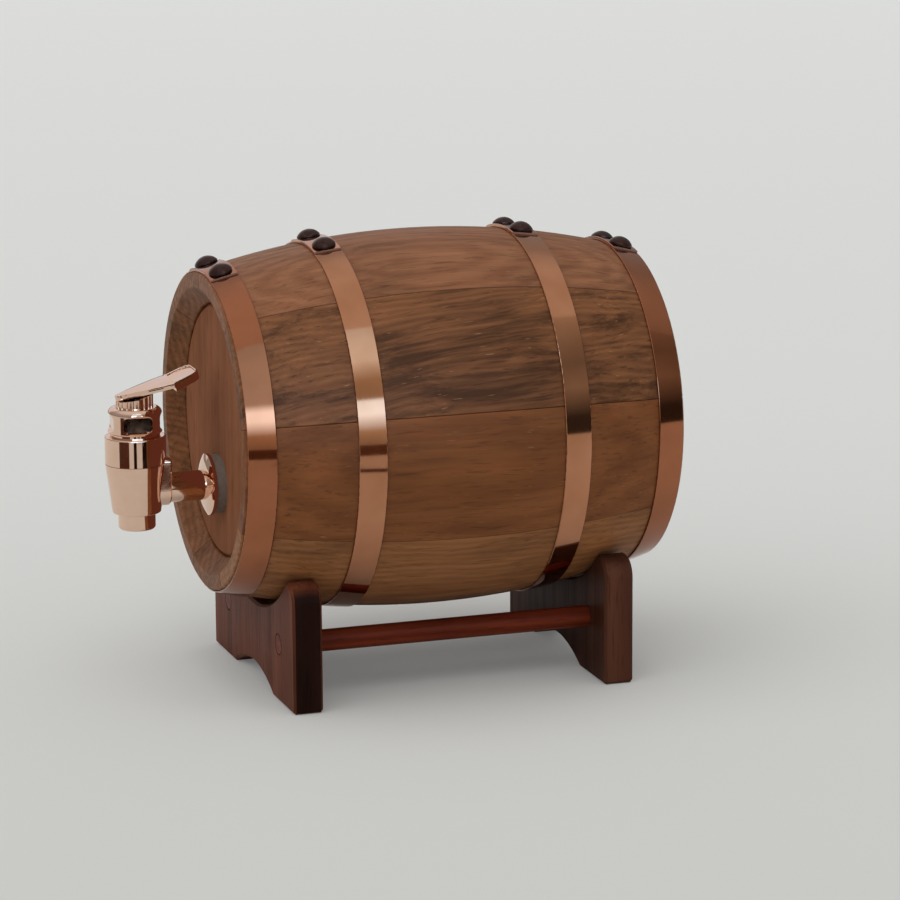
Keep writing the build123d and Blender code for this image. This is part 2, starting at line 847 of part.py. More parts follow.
def dowel(side):
    """Rail through both planks, flush with their outer faces."""
    blank = Cylinder(dowel_radius, 2 * plank_face)
    blank = chamfer(blank.edges().filter_by(GeomType.CIRCLE), dowel_chamfer)
    return facing_back(side * dowel_spread, cask_y, dowel_height) * blank


# ------------------------------------------------------------------ assembly
def main():
    stations = {
        "front_end": end_hoop_inset - half_length,
        "front_belly": belly_hoop_inset - half_length,
        "rear_belly": half_length - belly_hoop_inset,
        "rear_end": half_length - end_hoop_inset,
    }
    in_cask = {}
    pilot_holes = []
    for name, station in stations.items():
        places = nail_places(station, lap_turns[name])
        in_cask[f"{name}_hoop"] = hoop(station, lap_turns[name])
        in_cask[f"{name}_nails"] = Compound(children=[place * nail() for place in places])
        pilot_holes += [place * nail_hole() for place in places]
    in_cask.update(staves(pilot_holes))
    in_cask["front_head"] = front_head()
    in_cask["rear_head"] = rear_head()
    in_cask["bung"] = bung()
    in_tap = {
        "tap_body": tap_body(),
        "outlet_shroud": outlet_shroud(),
        "tap_cap": tap_cap(),
        "stem_o_ring": stem_o_ring(),
        "flange_gasket": flange_gasket(),
        "inner_washer": inner_washer(),
        "lock_nut": lock_nut(),
        "valve_stem": valve_stem(),
        "valve_seal": valve_seal(),
        "return_spring": return_spring(),
        "tap_lever": tap_lever(),
        "lever_pin": lever_pin(),
    }
    on_floor = {
        "front_cradle": Pos(0, cask_y - plank_face, 0) * cradle(),
        "rear_cradle": Pos(0, cask_y + plank_face - plank_thickness, 0) * cradle(),
        "left_dowel": dowel(-1),
        "right_dowel": dowel(1),
    }
    nodes = {name: cask_at * piece for name, piece in in_cask.items()}
    nodes.update({name: tap_at * piece for name, piece in in_tap.items()})
    nodes.update(on_floor)
    os.makedirs("parts", exist_ok=True)
    for name, piece in nodes.items():
        export_step(piece, f"parts/{name}.step")


main()
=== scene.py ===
import math

import bpy
from mathutils import Matrix, Vector


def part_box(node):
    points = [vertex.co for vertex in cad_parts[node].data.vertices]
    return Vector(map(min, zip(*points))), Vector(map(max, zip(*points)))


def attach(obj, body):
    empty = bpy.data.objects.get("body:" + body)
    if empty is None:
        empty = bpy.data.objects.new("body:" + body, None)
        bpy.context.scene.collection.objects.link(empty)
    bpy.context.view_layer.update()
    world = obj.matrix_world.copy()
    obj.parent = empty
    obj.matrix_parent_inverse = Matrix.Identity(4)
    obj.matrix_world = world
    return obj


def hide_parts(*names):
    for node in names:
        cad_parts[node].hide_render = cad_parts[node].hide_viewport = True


# Oak cask liquor dispenser: finishes, a lever with rounded edges, floor, studio light and camera
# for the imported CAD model.
# Metres, in the CAD model's frame: +Z up, the cask's axis along Y, and the tap at -Y.

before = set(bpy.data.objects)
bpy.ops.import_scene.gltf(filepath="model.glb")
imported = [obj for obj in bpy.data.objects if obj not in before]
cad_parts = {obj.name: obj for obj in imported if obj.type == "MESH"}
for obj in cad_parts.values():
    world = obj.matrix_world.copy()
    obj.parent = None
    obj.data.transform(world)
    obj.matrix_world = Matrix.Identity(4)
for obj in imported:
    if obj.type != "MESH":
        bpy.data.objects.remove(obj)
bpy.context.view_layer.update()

MM = 0.001

# ---- sizes read from the CAD model
staves = [f"stave_{number}" for number in range(1, 10)]
stave_turn = 360 / len(staves)
first_seam = 12.0            # degrees from +X up towards +Z, as in the CAD model

front_of_cask = min(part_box(stave)[0].y for stave in staves)
rear_of_cask = max(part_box(stave)[1].y for stave in staves)
highest_stave = max(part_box(stave)[1].z for stave in staves)
lowest_stave = min(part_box(stave)[0].z for stave in staves)
cask_centre = Vector((0, (front_of_cask + rear_of_cask) / 2, (highest_stave + lowest_stave) / 2))
tap_low, tap_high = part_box("outlet_shroud")
tap_centre = (tap_low + tap_high) / 2


# ------------------------------------------------------------------ helpers
def srgb(code):
    """Linear RGBA from an sRGB hex colour."""
    parts = [int(code[place:place + 2], 16) / 255 for place in (1, 3, 5)]
    return (*(p / 12.92 if p <= 0.04045 else ((p + 0.055) / 1.055) ** 2.4 for p in parts), 1)


def add_node(tree, kind, inputs=None, **settings):
    """Adds a node, gives it its settings, and fills its inputs with values, nodes or sockets."""
    node = tree.nodes.new(kind)
    stops = settings.pop("stops", None)
    for name, value in settings.items():
        setattr(node, name, value)
    if stops:
        ramp = node.color_ramp.elements
        while len(ramp) < len(stops):
            ramp.new(1)
        for element, (place, colour) in zip(ramp, stops):
            element.position = place
            element.color = colour
    for name, value in (inputs or {}).items():
        if isinstance(name, int):
            socket = node.inputs[name]
        else:
            socket = next(s for s in node.inputs if s.enabled and s.name == name)
        if isinstance(value, bpy.types.Node):
            value = next(s for s in value.outputs if s.enabled)
        if isinstance(value, bpy.types.NodeSocket):
            tree.links.new(value, socket)
        else:
            socket.default_value = value
    return node


def new_finish(name):
    """A material with an empty node tree."""
    material = bpy.data.materials.new(name)
    material.use_nodes = True
    material.node_tree.nodes.clear()
    return material, material.node_tree


def close_finish(tree, surface):
    """Links the surface shader to the material's output."""
    add_node(tree, "ShaderNodeOutputMaterial", {"Surface": surface})


def dress(material, *nodes):
    """Gives CAD nodes a material."""
    for node in nodes:
        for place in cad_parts[node].material_slots:
            place.material = material


# ------------------------------------------------------------------ wood
upright = (math.pi / 2, 0, 0)      # turns that lay the grain up and down, or along the cask
lengthwise = (0, 0, 0)
next_board = (131, 477, 59)        # millimetres from one board to the next in the noise
ring_period = 0.314                # ring spacing of a wave texture whose scale is 1

# Each mark's width across the grain, in millimetres, and its width as a share of its length.
drift_width, drift_share = 24, 0.4
patch_width, patch_share = 11, 0.25
streak_width, streak_share = 3, 0.03
fibre_width, fibre_share = 2.2, 0.016
pore_width, pore_share = 0.8, 0.07
tick_width, tick_share = 0.45, 0.08
tick_tan = "#a8835c"


def sawn_wood(
    name, turn, seed, base, shade, streak, streaks, pith, flecks=0.0, ring_spacing=2.2,
    wander=6.0, contrast=0.14, gloss=0.45, slope=0.0, painted_side_shade=1.0, polish=0.14,
):
    """Planed and oiled wood with its grain along the local Y axis that the turn gives.

    Open-pored wood shows soft growth rings, fine fibre lines, short dark pores and, where the
    board has them, dark mineral streaks that flow along it. Oil leaves it satin, so lamps show
    as broad soft sheens and the colour stays deep. The pith's place, the ring spacing and the
    fibres' wander are in millimetres. The slope tilts the grain across the board, in degrees.
    The painted side shade scales faces that look along X: below 1 it is painted shade,
    above 1 painted light. Polish is the strength of the sheen.
    """
    material, tree = new_finish(name)
    place = add_node(tree, "ShaderNodeTexCoord").outputs["Object"]
    level_board = add_node(
        tree, "ShaderNodeMapping",
        {"Vector": place, "Location": cask_centre, "Rotation": turn, "Scale": (MM, MM, MM)},
        vector_type="TEXTURE",
    )
    board = add_node(
        tree, "ShaderNodeMapping",
        {"Vector": level_board, "Rotation": (math.radians(-slope), 0, 0)},
    )
    here = add_node(
        tree, "ShaderNodeVectorMath",
        {0: board, 1: tuple(seed * step for step in next_board)}, operation="ADD",
    )

    # The fibres wander slowly sideways along the board, over about 60 mm.
    slow = add_node(tree, "ShaderNodeMapping", {"Vector": here, "Scale": (1, drift_share, 1)})
    drift = add_node(
        tree, "ShaderNodeTexNoise", {"Vector": slow, "Scale": 1 / drift_width, "Detail": 2},
    )
    centred = add_node(
        tree, "ShaderNodeVectorMath",
        {0: drift.outputs["Color"], 1: (0.5, 0.5, 0.5)}, operation="SUBTRACT",
    )
    sideways = add_node(
        tree, "ShaderNodeVectorMath",
        {0: centred, 1: (wander, 0, wander)}, operation="MULTIPLY",
    )
    fibres = add_node(tree, "ShaderNodeVectorMath", {0: here, 1: sideways}, operation="ADD")

    # Growth rings round a pith that lies beside the board and leans a little.
    bent_board = add_node(
        tree, "ShaderNodeVectorMath", {0: board, 1: sideways}, operation="ADD",
    )
    trunk = add_node(
        tree, "ShaderNodeMapping",
        {"Vector": bent_board, "Location": pith, "Rotation": (0.035, 0, 0.02)},
    )
    rings = add_node(
        tree, "ShaderNodeTexWave",
        {
            "Vector": trunk, "Scale": ring_period / ring_spacing, "Distortion": 1.2, "Detail": 3,
            "Detail Scale": 0.6, "Detail Roughness": 0.6, "Phase Offset": seed * 1.7,
        },
        wave_type="RINGS", rings_direction="Y",
    )

    # Long fibre lines, the broadest about 2 mm wide, with finer ones between them.
    drawn_out = add_node(
        tree, "ShaderNodeMapping", {"Vector": fibres, "Scale": (1, fibre_share, 1)},
    )
    lines = add_node(
        tree, "ShaderNodeTexNoise",
        {"Vector": drawn_out, "Scale": 1 / fibre_width, "Detail": 5, "Roughness": 0.68},
    )
    # Cut pores: the dark cores of dashes under a millimetre wide and about 11 mm long.
    dashes = add_node(tree, "ShaderNodeMapping", {"Vector": fibres, "Scale": (1, pore_share, 1)})
    pores = add_node(
        tree, "ShaderNodeTexNoise",
        {"Vector": dashes, "Scale": 1 / pore_width, "Detail": 2, "Roughness": 0.5},
    )
    pore_mask = add_node(
        tree, "ShaderNodeMapRange",
        {"Value": pores, "From Min": 0.58, "From Max": 0.7, "To Max": 0.5},
    )
    # Broad, soft changes of tone along the board.
    patches = add_node(tree, "ShaderNodeMapping", {"Vector": here, "Scale": (1, patch_share, 1)})
    patch_tone = add_node(
        tree, "ShaderNodeTexNoise", {"Vector": patches, "Scale": 1 / patch_width, "Detail": 2},
    )
    # Mineral streaks: dark threads up to 3 mm wide, in bundles where the tone is dark.
    long_way = add_node(
        tree, "ShaderNodeMapping", {"Vector": fibres, "Scale": (1, streak_share, 1)},
    )
    threads = add_node(
        tree, "ShaderNodeTexNoise",
        {"Vector": long_way, "Scale": 1 / streak_width, "Detail": 6, "Roughness": 0.66},
    )
    bundles = add_node(
        tree, "ShaderNodeMapRange",
        {"Value": patch_tone, "From Min": 0.35, "From Max": 0.65, "To Min": 0.12, "To Max": -0.12},
    )
    stains = add_node(tree, "ShaderNodeMath", {0: threads, 1: bundles}, operation="ADD")
    stain_mask = add_node(
        tree, "ShaderNodeMapRange",
        {
            "Value": stains, "From Min": 0.56 - 0.14 * streaks, "From Max": 0.8 - 0.08 * streaks,
            "To Max": min(1.0, 0.3 + 0.6 * streaks),
        },
        interpolation_type="SMOOTHSTEP",
    )

    ring_colour = add_node(
        tree, "ShaderNodeMix",
        {"Factor": rings, "A": srgb(base), "B": srgb(shade)}, data_type="RGBA",
    )
    patch_shade = add_node(
        tree, "ShaderNodeMapRange",
        {"Value": patch_tone, "From Min": 0.3, "From Max": 0.7, "To Min": 0.88, "To Max": 1.12},
    )
    line_shade = add_node(
        tree, "ShaderNodeMapRange",
        {
            "Value": lines, "From Min": 0.3, "From Max": 0.7,
            "To Min": 1 - 2 * contrast, "To Max": 1 + 2 * contrast,
        },
    )
    both_shades = add_node(
        tree, "ShaderNodeMath", {0: patch_shade, 1: line_shade}, operation="MULTIPLY",
    )
    lined = add_node(
        tree, "ShaderNodeMix", {"Factor": 1.0, "A": ring_colour, "B": both_shades},
        data_type="RGBA", blend_type="MULTIPLY",
    )
    streaked = add_node(
        tree, "ShaderNodeMix",
        {"Factor": stain_mask, "A": lined, "B": srgb(streak)}, data_type="RGBA",
    )
    colour = add_node(
        tree, "ShaderNodeMix",
        {"Factor": pore_mask, "A": streaked, "B": srgb(streak)}, data_type="RGBA",
    )
    if flecks:
        # Open pores that catch the light: the pale cores of dashes under 0.5 mm wide.
        ticks = add_node(
            tree, "ShaderNodeMapping", {"Vector": fibres, "Scale": (1, tick_share, 1)},
        )
        tick_noise = add_node(
            tree, "ShaderNodeTexNoise", {"Vector": ticks, "Scale": 1 / tick_width, "Detail": 0},
        )
        tick_mask = add_node(
            tree, "ShaderNodeMapRange",
            {"Value": tick_noise, "From Min": 0.77, "From Max": 0.87, "To Max": flecks},
        )
        colour = add_node(
            tree, "ShaderNodeMix",
            {"Factor": tick_mask, "A": colour, "B": srgb(tick_tan)}, data_type="RGBA",
        )

    # Painted shade and light on faces that look along X, wherever the side shade is not 1.
    if painted_side_shade != 1:
        facing = add_node(tree, "ShaderNodeNewGeometry").outputs["Normal"]
        across = add_node(tree, "ShaderNodeSeparateXYZ", {"Vector": facing}).outputs["X"]
        facing_along_x = add_node(tree, "ShaderNodeMath", {0: across}, operation="ABSOLUTE")
        painted_side_tone = add_node(
            tree, "ShaderNodeMapRange",
            {"Value": facing_along_x, "From Min": 0.5, "From Max": 0.9, "To Min": 1, "To Max": painted_side_shade},
        )
        colour = add_node(
            tree, "ShaderNodeMix", {"Factor": 1.0, "A": colour, "B": painted_side_tone},
            data_type="RGBA", blend_type="MULTIPLY",
        )

    height = add_node(tree, "ShaderNodeMath", {0: lines, 1: pore_mask}, operation="SUBTRACT")
    relief = add_node(
        tree, "ShaderNodeBump", {"Height": height, "Strength": 0.3, "Distance": 0.05 * MM},
    )
    sheen = add_node(
        tree, "ShaderNodeMapRange",
        {
            "Value": lines, "From Min": 0.3, "From Max": 0.7,
            "To Min": gloss + 0.08, "To Max": gloss - 0.06,
        },
    )
    wood = add_node(
        tree, "ShaderNodeBsdfPrincipled",
        {
            "Base Color": colour, "Roughness": sheen, "Normal": relief, "IOR": 1.47,
            "Specular IOR Level": polish,
        },
    )
    close_finish(tree, wood)
    return material


# Each stave is a board of its own, with its own tone, rings and streaks.
stave_boards = {
    "stave_1": dict(seed=1, base="#7a4f31", shade="#6f4529", streak="#37200f", streaks=0.8,
                    flecks=0.5, pith=(-60, 0, 30), wander=9.0, contrast=0.12, slope=5.0),
    "stave_2": dict(seed=2, base="#84583c", shade="#7a4e34", streak="#472b18", streaks=0.2,
                    flecks=0.25, pith=(-120, 0, 14), ring_spacing=1.9, contrast=0.1),
    "stave_3": dict(seed=3, base="#825637", shade="#75492d", streak="#452a17", streaks=0.3,
                    pith=(-90, 0, -22), ring_spacing=2.4, contrast=0.11),
    "stave_4": dict(seed=4, base="#7c5133", shade="#6e4529", streak="#3d2613", streaks=0.4,
                    pith=(20, 0, 26), contrast=0.12),
    "stave_5": dict(seed=5, base="#794d30", shade="#6b4226", streak="#3a2311", streaks=0.3,
                    pith=(-60, 0, -34), contrast=0.11),
    "stave_6": dict(seed=6, base="#82573a", shade="#754b30", streak="#472c18", streaks=0.2,
                    pith=(-140, 0, 8), ring_spacing=2.1, contrast=0.1),
    "stave_7": dict(seed=7, base="#7d5234", shade="#71472a", streak="#412713", streaks=0.35,
                    pith=(6, 0, -28), contrast=0.12),
    # stave_8, low on the +X side and facing down, is the palest: partly its own tone, partly painted
    # light that stands in for light from the floor.
    "stave_8": dict(seed=8, base="#8f5f3a", shade="#845532", streak="#4d3019", streaks=0.2,
                    pith=(-110, 0, 30), contrast=0.09),
    "stave_9": dict(seed=9, base="#7c4b29", shade="#724323", streak="#4a2b15", streaks=0.15,
                    flecks=0.35, pith=(-160, 0, -12), ring_spacing=4.5, contrast=0.09),
}
for number, stave in enumerate(staves):
    middle = math.radians(first_seam + stave_turn * (number + 0.5))
    dress(
        sawn_wood(f"oiled_oak_{stave}", (0, -middle, 0), **stave_boards[stave]),
        stave,
    )

# The two heads, the bung, and the stand's planks and rails.
dress(
    sawn_wood(
        "oiled_oak_front_head", upright, seed=11, base="#8e5e43", shade="#87593e",
        streak="#5a3722", streaks=0.05, pith=(-90, 0, 14), ring_spacing=6.0, wander=3.0,
        contrast=0.03, polish=0.08,
    ),
    "front_head",
)
dress(
    sawn_wood(
        "oiled_oak_rear_head", upright, seed=12, base="#8b5a3d", shade="#7e4e33",
        streak="#4f311e", streaks=0.15, pith=(-70, 0, -18), ring_spacing=4.0, wander=4.0,
        contrast=0.06,
    ),
    "rear_head",
)
dress(
    sawn_wood(
        "turned_oak_bung", lengthwise, seed=13, base="#93694a", shade="#7d5539",
        streak="#4d3322", streaks=0.15, pith=(-40, 0, 10), ring_spacing=1.8, gloss=0.38,
    ),
    "bung",
)
# The rear cradle's darker tones are painted shade for its face in the cask's shadow. The painted side
# shade darkens the front cradle's X-facing sides and lightens the rear one's.
planks = {
    "front_cradle": dict(seed=14, base="#683a28", shade="#5d3121", painted_side_shade=0.12),
    "rear_cradle": dict(seed=15, base="#46291d", shade="#3d2218", painted_side_shade=1.5),
}
for plank, board in planks.items():
    dress(
        sawn_wood(
            f"stained_mahogany_{plank}", upright, **board, streak="#2a130b",
            streaks=0.2, pith=(-80, 0, 20), ring_spacing=9.0, wander=4.0, contrast=0.035,
            gloss=0.42, polish=0.05,
        ),
        plank,
    )
for rail, seed in (("left_dowel", 16), ("right_dowel", 17)):
    dress(
        sawn_wood(
            f"stained_mahogany_{rail}", lengthwise, seed=seed, base="#6a2c18",
            shade="#5a2212", streak="#30120b", streaks=0.2, pith=(-60, 0, 10),
            ring_spacing=3.0, wander=2.0, contrast=0.12, gloss=0.34, polish=0.06,
        ),
        rail,
    )


# ------------------------------------------------------------------ metals
rolling_line = 0.5                 # millimetres between the lines drawn on the copper
sheared_copper = "#8d6a58"         # the hoops' cut ends


def satin_copper(name, low, high):
    """Copper strip, bright rolled: lamps show as bands across it with slightly soft edges."""
    material, tree = new_finish(name)
    place = add_node(tree, "ShaderNodeTexCoord").outputs["Object"]
    hoop = add_node(
        tree, "ShaderNodeMapping",
        {"Vector": place, "Location": cask_centre, "Scale": (MM, MM, MM)}, vector_type="TEXTURE",
    )
    # Rolling lines are finer than a tenth of a millimetre; they are drawn 0.5 mm apart to show.
    stretched = add_node(tree, "ShaderNodeMapping", {"Vector": hoop, "Scale": (0.035, 1, 0.035)})
    strokes = add_node(
        tree, "ShaderNodeTexNoise",
        {"Vector": stretched, "Scale": 1 / rolling_line, "Detail": 3, "Roughness": 0.6},
    )
    cloudy = add_node(
        tree, "ShaderNodeTexNoise", {"Vector": hoop, "Scale": 1 / 14, "Detail": 2},
    )
    tone = add_node(
        tree, "ShaderNodeValToRGB", {"Fac": cloudy},
        stops=[(0.3, srgb(low)), (0.7, srgb(high))],
    )
    gloss = add_node(
        tree, "ShaderNodeMapRange",
        {"Value": strokes, "From Min": 0.3, "From Max": 0.7, "To Min": 0.06, "To Max": 0.1},
    )
    relief = add_node(
        tree, "ShaderNodeBump", {"Height": strokes, "Strength": 0.03, "Distance": 0.02 * MM},
    )
    # The strip's cut ends, which look neither outwards nor along the cask, are left rough.
    facing = add_node(tree, "ShaderNodeNewGeometry").outputs["True Normal"]
    outwards = add_node(
        tree, "ShaderNodeVectorMath", {0: hoop, 1: (1, 0, 1)}, operation="MULTIPLY",
    )
    radial = add_node(tree, "ShaderNodeVectorMath", {0: outwards}, operation="NORMALIZE")
    lean = add_node(
        tree, "ShaderNodeVectorMath", {0: facing, 1: radial}, operation="DOT_PRODUCT",
    ).outputs["Value"]
    lean_size = add_node(tree, "ShaderNodeMath", {0: lean}, operation="ABSOLUTE")
    sideways = add_node(tree, "ShaderNodeSeparateXYZ", {"Vector": facing}).outputs["Y"]
    side_size = add_node(tree, "ShaderNodeMath", {0: sideways}, operation="ABSOLUTE")
    larger = add_node(
        tree, "ShaderNodeMath", {0: lean_size, 1: side_size}, operation="MAXIMUM",
    )
    whole = add_node(
        tree, "ShaderNodeMapRange", {"Value": larger, "From Min": 0.35, "From Max": 0.6},
    )
    metal = add_node(
        tree, "ShaderNodeBsdfPrincipled",
        {"Base Color": tone, "Metallic": 1.0, "Roughness": gloss, "Normal": relief},
    )
    cut_end = add_node(
        tree, "ShaderNodeBsdfPrincipled",
        {"Base Color": srgb(sheared_copper), "Metallic": 0.0, "Roughness": 0.7},
    )
    surface = add_node(tree, "ShaderNodeMixShader", {0: whole, 1: cut_end, 2: metal})
    close_finish(tree, surface)
    return material


def rose_gold_plating():
    """Polished brass under rose-gold plating: near-mirror, with faint wipe marks and ripples."""
    material, tree = new_finish("rose_gold_plating")
    place = add_node(tree, "ShaderNodeTexCoord").outputs["Object"]
    casting = add_node(
        tree, "ShaderNodeMapping", {"Vector": place, "Scale": (MM, MM, MM)}, vector_type="TEXTURE",
    )
    wiped = add_node(
        tree, "ShaderNodeTexNoise", {"Vector": casting, "Scale": 1 / 5, "Detail": 4, "Roughness": 0.6},
    )
    gloss = add_node(
        tree, "ShaderNodeMapRange",
        {"Value": wiped, "From Min": 0.35, "From Max": 0.7, "To Min": 0.03, "To Max": 0.07},
    )
    tone = add_node(
        tree, "ShaderNodeValToRGB", {"Fac": wiped},
        stops=[(0.3, srgb("#ebc6ae")), (0.75, srgb("#f1ceb8"))],
    )
    ripple = add_node(
        tree, "ShaderNodeTexNoise", {"Vector": casting, "Scale": 1 / 3, "Detail": 1},
    )
    relief = add_node(
        tree, "ShaderNodeBump", {"Height": ripple, "Strength": 0.1, "Distance": 0.03 * MM},
    )
    metal = add_node(
        tree, "ShaderNodeBsdfPrincipled",
        {"Base Color": tone, "Metallic": 1.0, "Roughness": gloss, "Normal": relief},
    )
    close_finish(tree, metal)
    return material


def patinated_bronze():
    """Dark bronze nails, with a mottled patina of darker and brighter patches."""
    material, tree = new_finish("patinated_bronze")
    place = add_node(tree, "ShaderNodeTexCoord").outputs["Object"]
    nail = add_node(
        tree, "ShaderNodeMapping", {"Vector": place, "Scale": (MM, MM, MM)}, vector_type="TEXTURE",
    )
    mottle = add_node(
        tree, "ShaderNodeTexNoise", {"Vector": nail, "Scale": 1 / 1.2, "Detail": 4, "Roughness": 0.65},
    )
    tone = add_node(
        tree, "ShaderNodeValToRGB", {"Fac": mottle},
        stops=[(0.3, srgb("#2c1c19")), (0.6, srgb("#442c26")), (0.8, srgb("#5f4036"))],
    )
    relief = add_node(
        tree, "ShaderNodeBump", {"Height": mottle, "Strength": 0.3, "Distance": 0.04 * MM},
    )
    metal = add_node(
        tree, "ShaderNodeBsdfPrincipled",
        {"Base Color": tone, "Metallic": 0.75, "Roughness": 0.27, "Normal": relief},
    )
    close_finish(tree, metal)
    return material


def drawn_steel():
    """Bright stainless steel, drawn or turned: cool grey with fine marks."""
    material, tree = new_finish("drawn_steel")
    place = add_node(tree, "ShaderNodeTexCoord").outputs["Object"]
    rod = add_node(
        tree, "ShaderNodeMapping", {"Vector": place, "Scale": (MM, MM, MM)}, vector_type="TEXTURE",
    )
    marks = add_node(
        tree, "ShaderNodeTexNoise", {"Vector": rod, "Scale": 1 / 0.6, "Detail": 3},
    )
    tone = add_node(
        tree, "ShaderNodeValToRGB", {"Fac": marks},
        stops=[(0.3, srgb("#a9aaab")), (0.7, srgb("#c6c7c8"))],
    )
    gloss = add_node(
        tree, "ShaderNodeMapRange",
        {"Value": marks, "From Min": 0.3, "From Max": 0.7, "To Min": 0.2, "To Max": 0.34},
    )
    metal = add_node(
        tree, "ShaderNodeBsdfPrincipled",
        {"Base Color": tone, "Metallic": 1.0, "Roughness": gloss},
    )
    close_finish(tree, metal)
    return material


# ------------------------------------------------------------------ rubber and silicone
def moulded_rubber(name, low, high, rough, speck):
    """Moulded elastomer: matt, with a faint dusty mottle and a slight moulding texture.

    The speck is the mottle's grain, in millimetres.
    """
    material, tree = new_finish(name)
    place = add_node(tree, "ShaderNodeTexCoord").outputs["Object"]
    ring = add_node(
        tree, "ShaderNodeMapping", {"Vector": place, "Scale": (MM, MM, MM)}, vector_type="TEXTURE",
    )
    dust = add_node(
        tree, "ShaderNodeTexNoise", {"Vector": ring, "Scale": 1 / speck, "Detail": 4, "Roughness": 0.6},
    )
    tone = add_node(
        tree, "ShaderNodeValToRGB", {"Fac": dust}, stops=[(0.3, srgb(low)), (0.7, srgb(high))],
    )
    relief = add_node(
        tree, "ShaderNodeBump", {"Height": dust, "Strength": 0.2, "Distance": 0.03 * MM},
    )
    rubber = add_node(
        tree, "ShaderNodeBsdfPrincipled",
        {
            "Base Color": tone, "Roughness": rough, "Normal": relief, "IOR": 1.52,
            "Specular IOR Level": 0.15,
        },
    )
    close_finish(tree, rubber)
    return material


# ------------------------------------------------------------------ the lever's rounded edges
merge_within = 0.001 * MM          # corners of loose triangles that are one point
flat_within = math.radians(0.5)    # triangles that lie in one face
round_above = math.radians(38)     # edges sharp enough to be rounded
smooth_below = math.radians(35)
rounding_steps = 3


def softened_copy(node, radius):
    """A merged copy of a CAD piece with its edges rounded, as casting and polishing leave them.

    The radius is in millimetres.
    """
    bpy.ops.object.select_all(action="DESELECT")
    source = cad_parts[node]
    piece = source.copy()
    piece.data = source.data.copy()
    piece.name = f"{node}_polished"
    bpy.context.collection.objects.link(piece)
    bpy.context.view_layer.objects.active = piece
    piece.select_set(True)
    bpy.ops.object.mode_set(mode="EDIT")
    bpy.ops.mesh.select_all(action="SELECT")
    bpy.ops.mesh.remove_doubles(threshold=merge_within)
    bpy.ops.mesh.dissolve_limited(angle_limit=flat_within)
    bpy.ops.object.mode_set(mode="OBJECT")
    bpy.ops.mesh.customdata_custom_splitnormals_clear()
    rounding = piece.modifiers.new("rounding", "BEVEL")
    rounding.width = radius * MM
    rounding.segments = rounding_steps
    rounding.limit_method = "ANGLE"
    rounding.angle_limit = round_above
    bpy.ops.object.modifier_apply(modifier=rounding.name)
    bpy.ops.object.shade_smooth_by_angle(angle=smooth_below)
    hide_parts(node)
    return piece


# ------------------------------------------------------------------ dressing metal and rubber
# The end hoops get a darker, redder copy of the copper: painted shade for the darker
# surroundings that they mirror.
dress(satin_copper("satin_copper_painted_shade", "#a06546", "#ae6e4f"), "front_end_hoop", "rear_end_hoop")
dress(
    satin_copper("satin_copper_belly", "#b87e5c", "#c68b69"),
    "front_belly_hoop", "rear_belly_hoop",
)
dress(
    patinated_bronze(),
    "front_end_nails", "front_belly_nails", "rear_belly_nails", "rear_end_nails",
)
dress(rose_gold_plating(), "tap_body", "outlet_shroud", "tap_cap", "tap_lever")
polished_lever = softened_copy("tap_lever", 0.4)
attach(polished_lever, "lever")
dress(drawn_steel(), "valve_stem", "return_spring", "lever_pin", "lock_nut")
dress(
    moulded_rubber("nitrile_rubber", "#6f6259", "#7d7066", 0.62, 1.1),
    "flange_gasket", "inner_washer", "stem_o_ring",
)
dress(moulded_rubber("food_silicone", "#cfcac2", "#ddd9d2", 0.5, 0.9), "valve_seal")


# ------------------------------------------------------------------ studio
view_azimuth = math.radians(71.61)      # the camera's side, from -Y towards +X
view_elevation = math.radians(12.67)
floor_size = 14
far_falloff, near_falloff = -2.0, 0.3          # metres towards the camera where the tones end
paper_tooth = 900                        # specks per metre
camera_glow = 0.17                       # share of the paper that glows, to the camera alone


def studio_floor():
    """Pale studio paper with painted light, lighter towards its far end; it keeps the soft shadow."""
    bpy.ops.object.select_all(action="DESELECT")
    bpy.ops.mesh.primitive_plane_add(size=floor_size, location=(0, 0, 0))
    floor = bpy.context.object
    floor.name = "floor"
    material, tree = new_finish("studio_paper")
    place = add_node(tree, "ShaderNodeTexCoord").outputs["Object"]
    nearness = add_node(
        tree, "ShaderNodeVectorMath",
        {0: place, 1: (math.sin(view_azimuth), -math.cos(view_azimuth), 0)},
        operation="DOT_PRODUCT",
    )
    distance = add_node(
        tree, "ShaderNodeMapRange",
        {"Value": nearness.outputs["Value"], "From Min": far_falloff, "From Max": near_falloff},
    )
    # Painted light: the paper is lighter towards its far end and darker near the camera.
    painted_falloff = add_node(
        tree, "ShaderNodeValToRGB", {"Fac": distance},
        stops=[(0.0, srgb("#dcdedd")), (0.7, srgb("#d5d7d5")), (1.0, srgb("#c9cac8"))],
    )
    tooth = add_node(
        tree, "ShaderNodeTexNoise", {"Vector": place, "Scale": paper_tooth, "Detail": 2},
    )
    tooth_shade = add_node(
        tree, "ShaderNodeMapRange", {"Value": tooth, "To Min": 0.985, "To Max": 1.015},
    )
    tone = add_node(
        tree, "ShaderNodeMix", {"Factor": 1.0, "A": painted_falloff, "B": tooth_shade},
        data_type="RGBA", blend_type="MULTIPLY",
    )
    # The paper glows a little to the camera alone, which keeps its shadows soft and pale.
    paper = add_node(tree, "ShaderNodeBsdfDiffuse", {"Color": tone})
    glow = add_node(tree, "ShaderNodeEmission", {"Color": tone, "Strength": 1.0})
    to_camera = add_node(tree, "ShaderNodeLightPath").outputs["Is Camera Ray"]
    share = add_node(
        tree, "ShaderNodeMath", {0: to_camera, 1: camera_glow}, operation="MULTIPLY",
    )
    surface = add_node(tree, "ShaderNodeMixShader", {0: share, 1: paper, 2: glow})
    close_finish(tree, surface)
    floor.data.materials.append(material)


def gloss_only(card):
    """Keeps a card of the studio out of everything but reflections."""
    card.visible_camera = False
    card.visible_diffuse = False
    card.visible_shadow = False
    card.visible_transmission = False


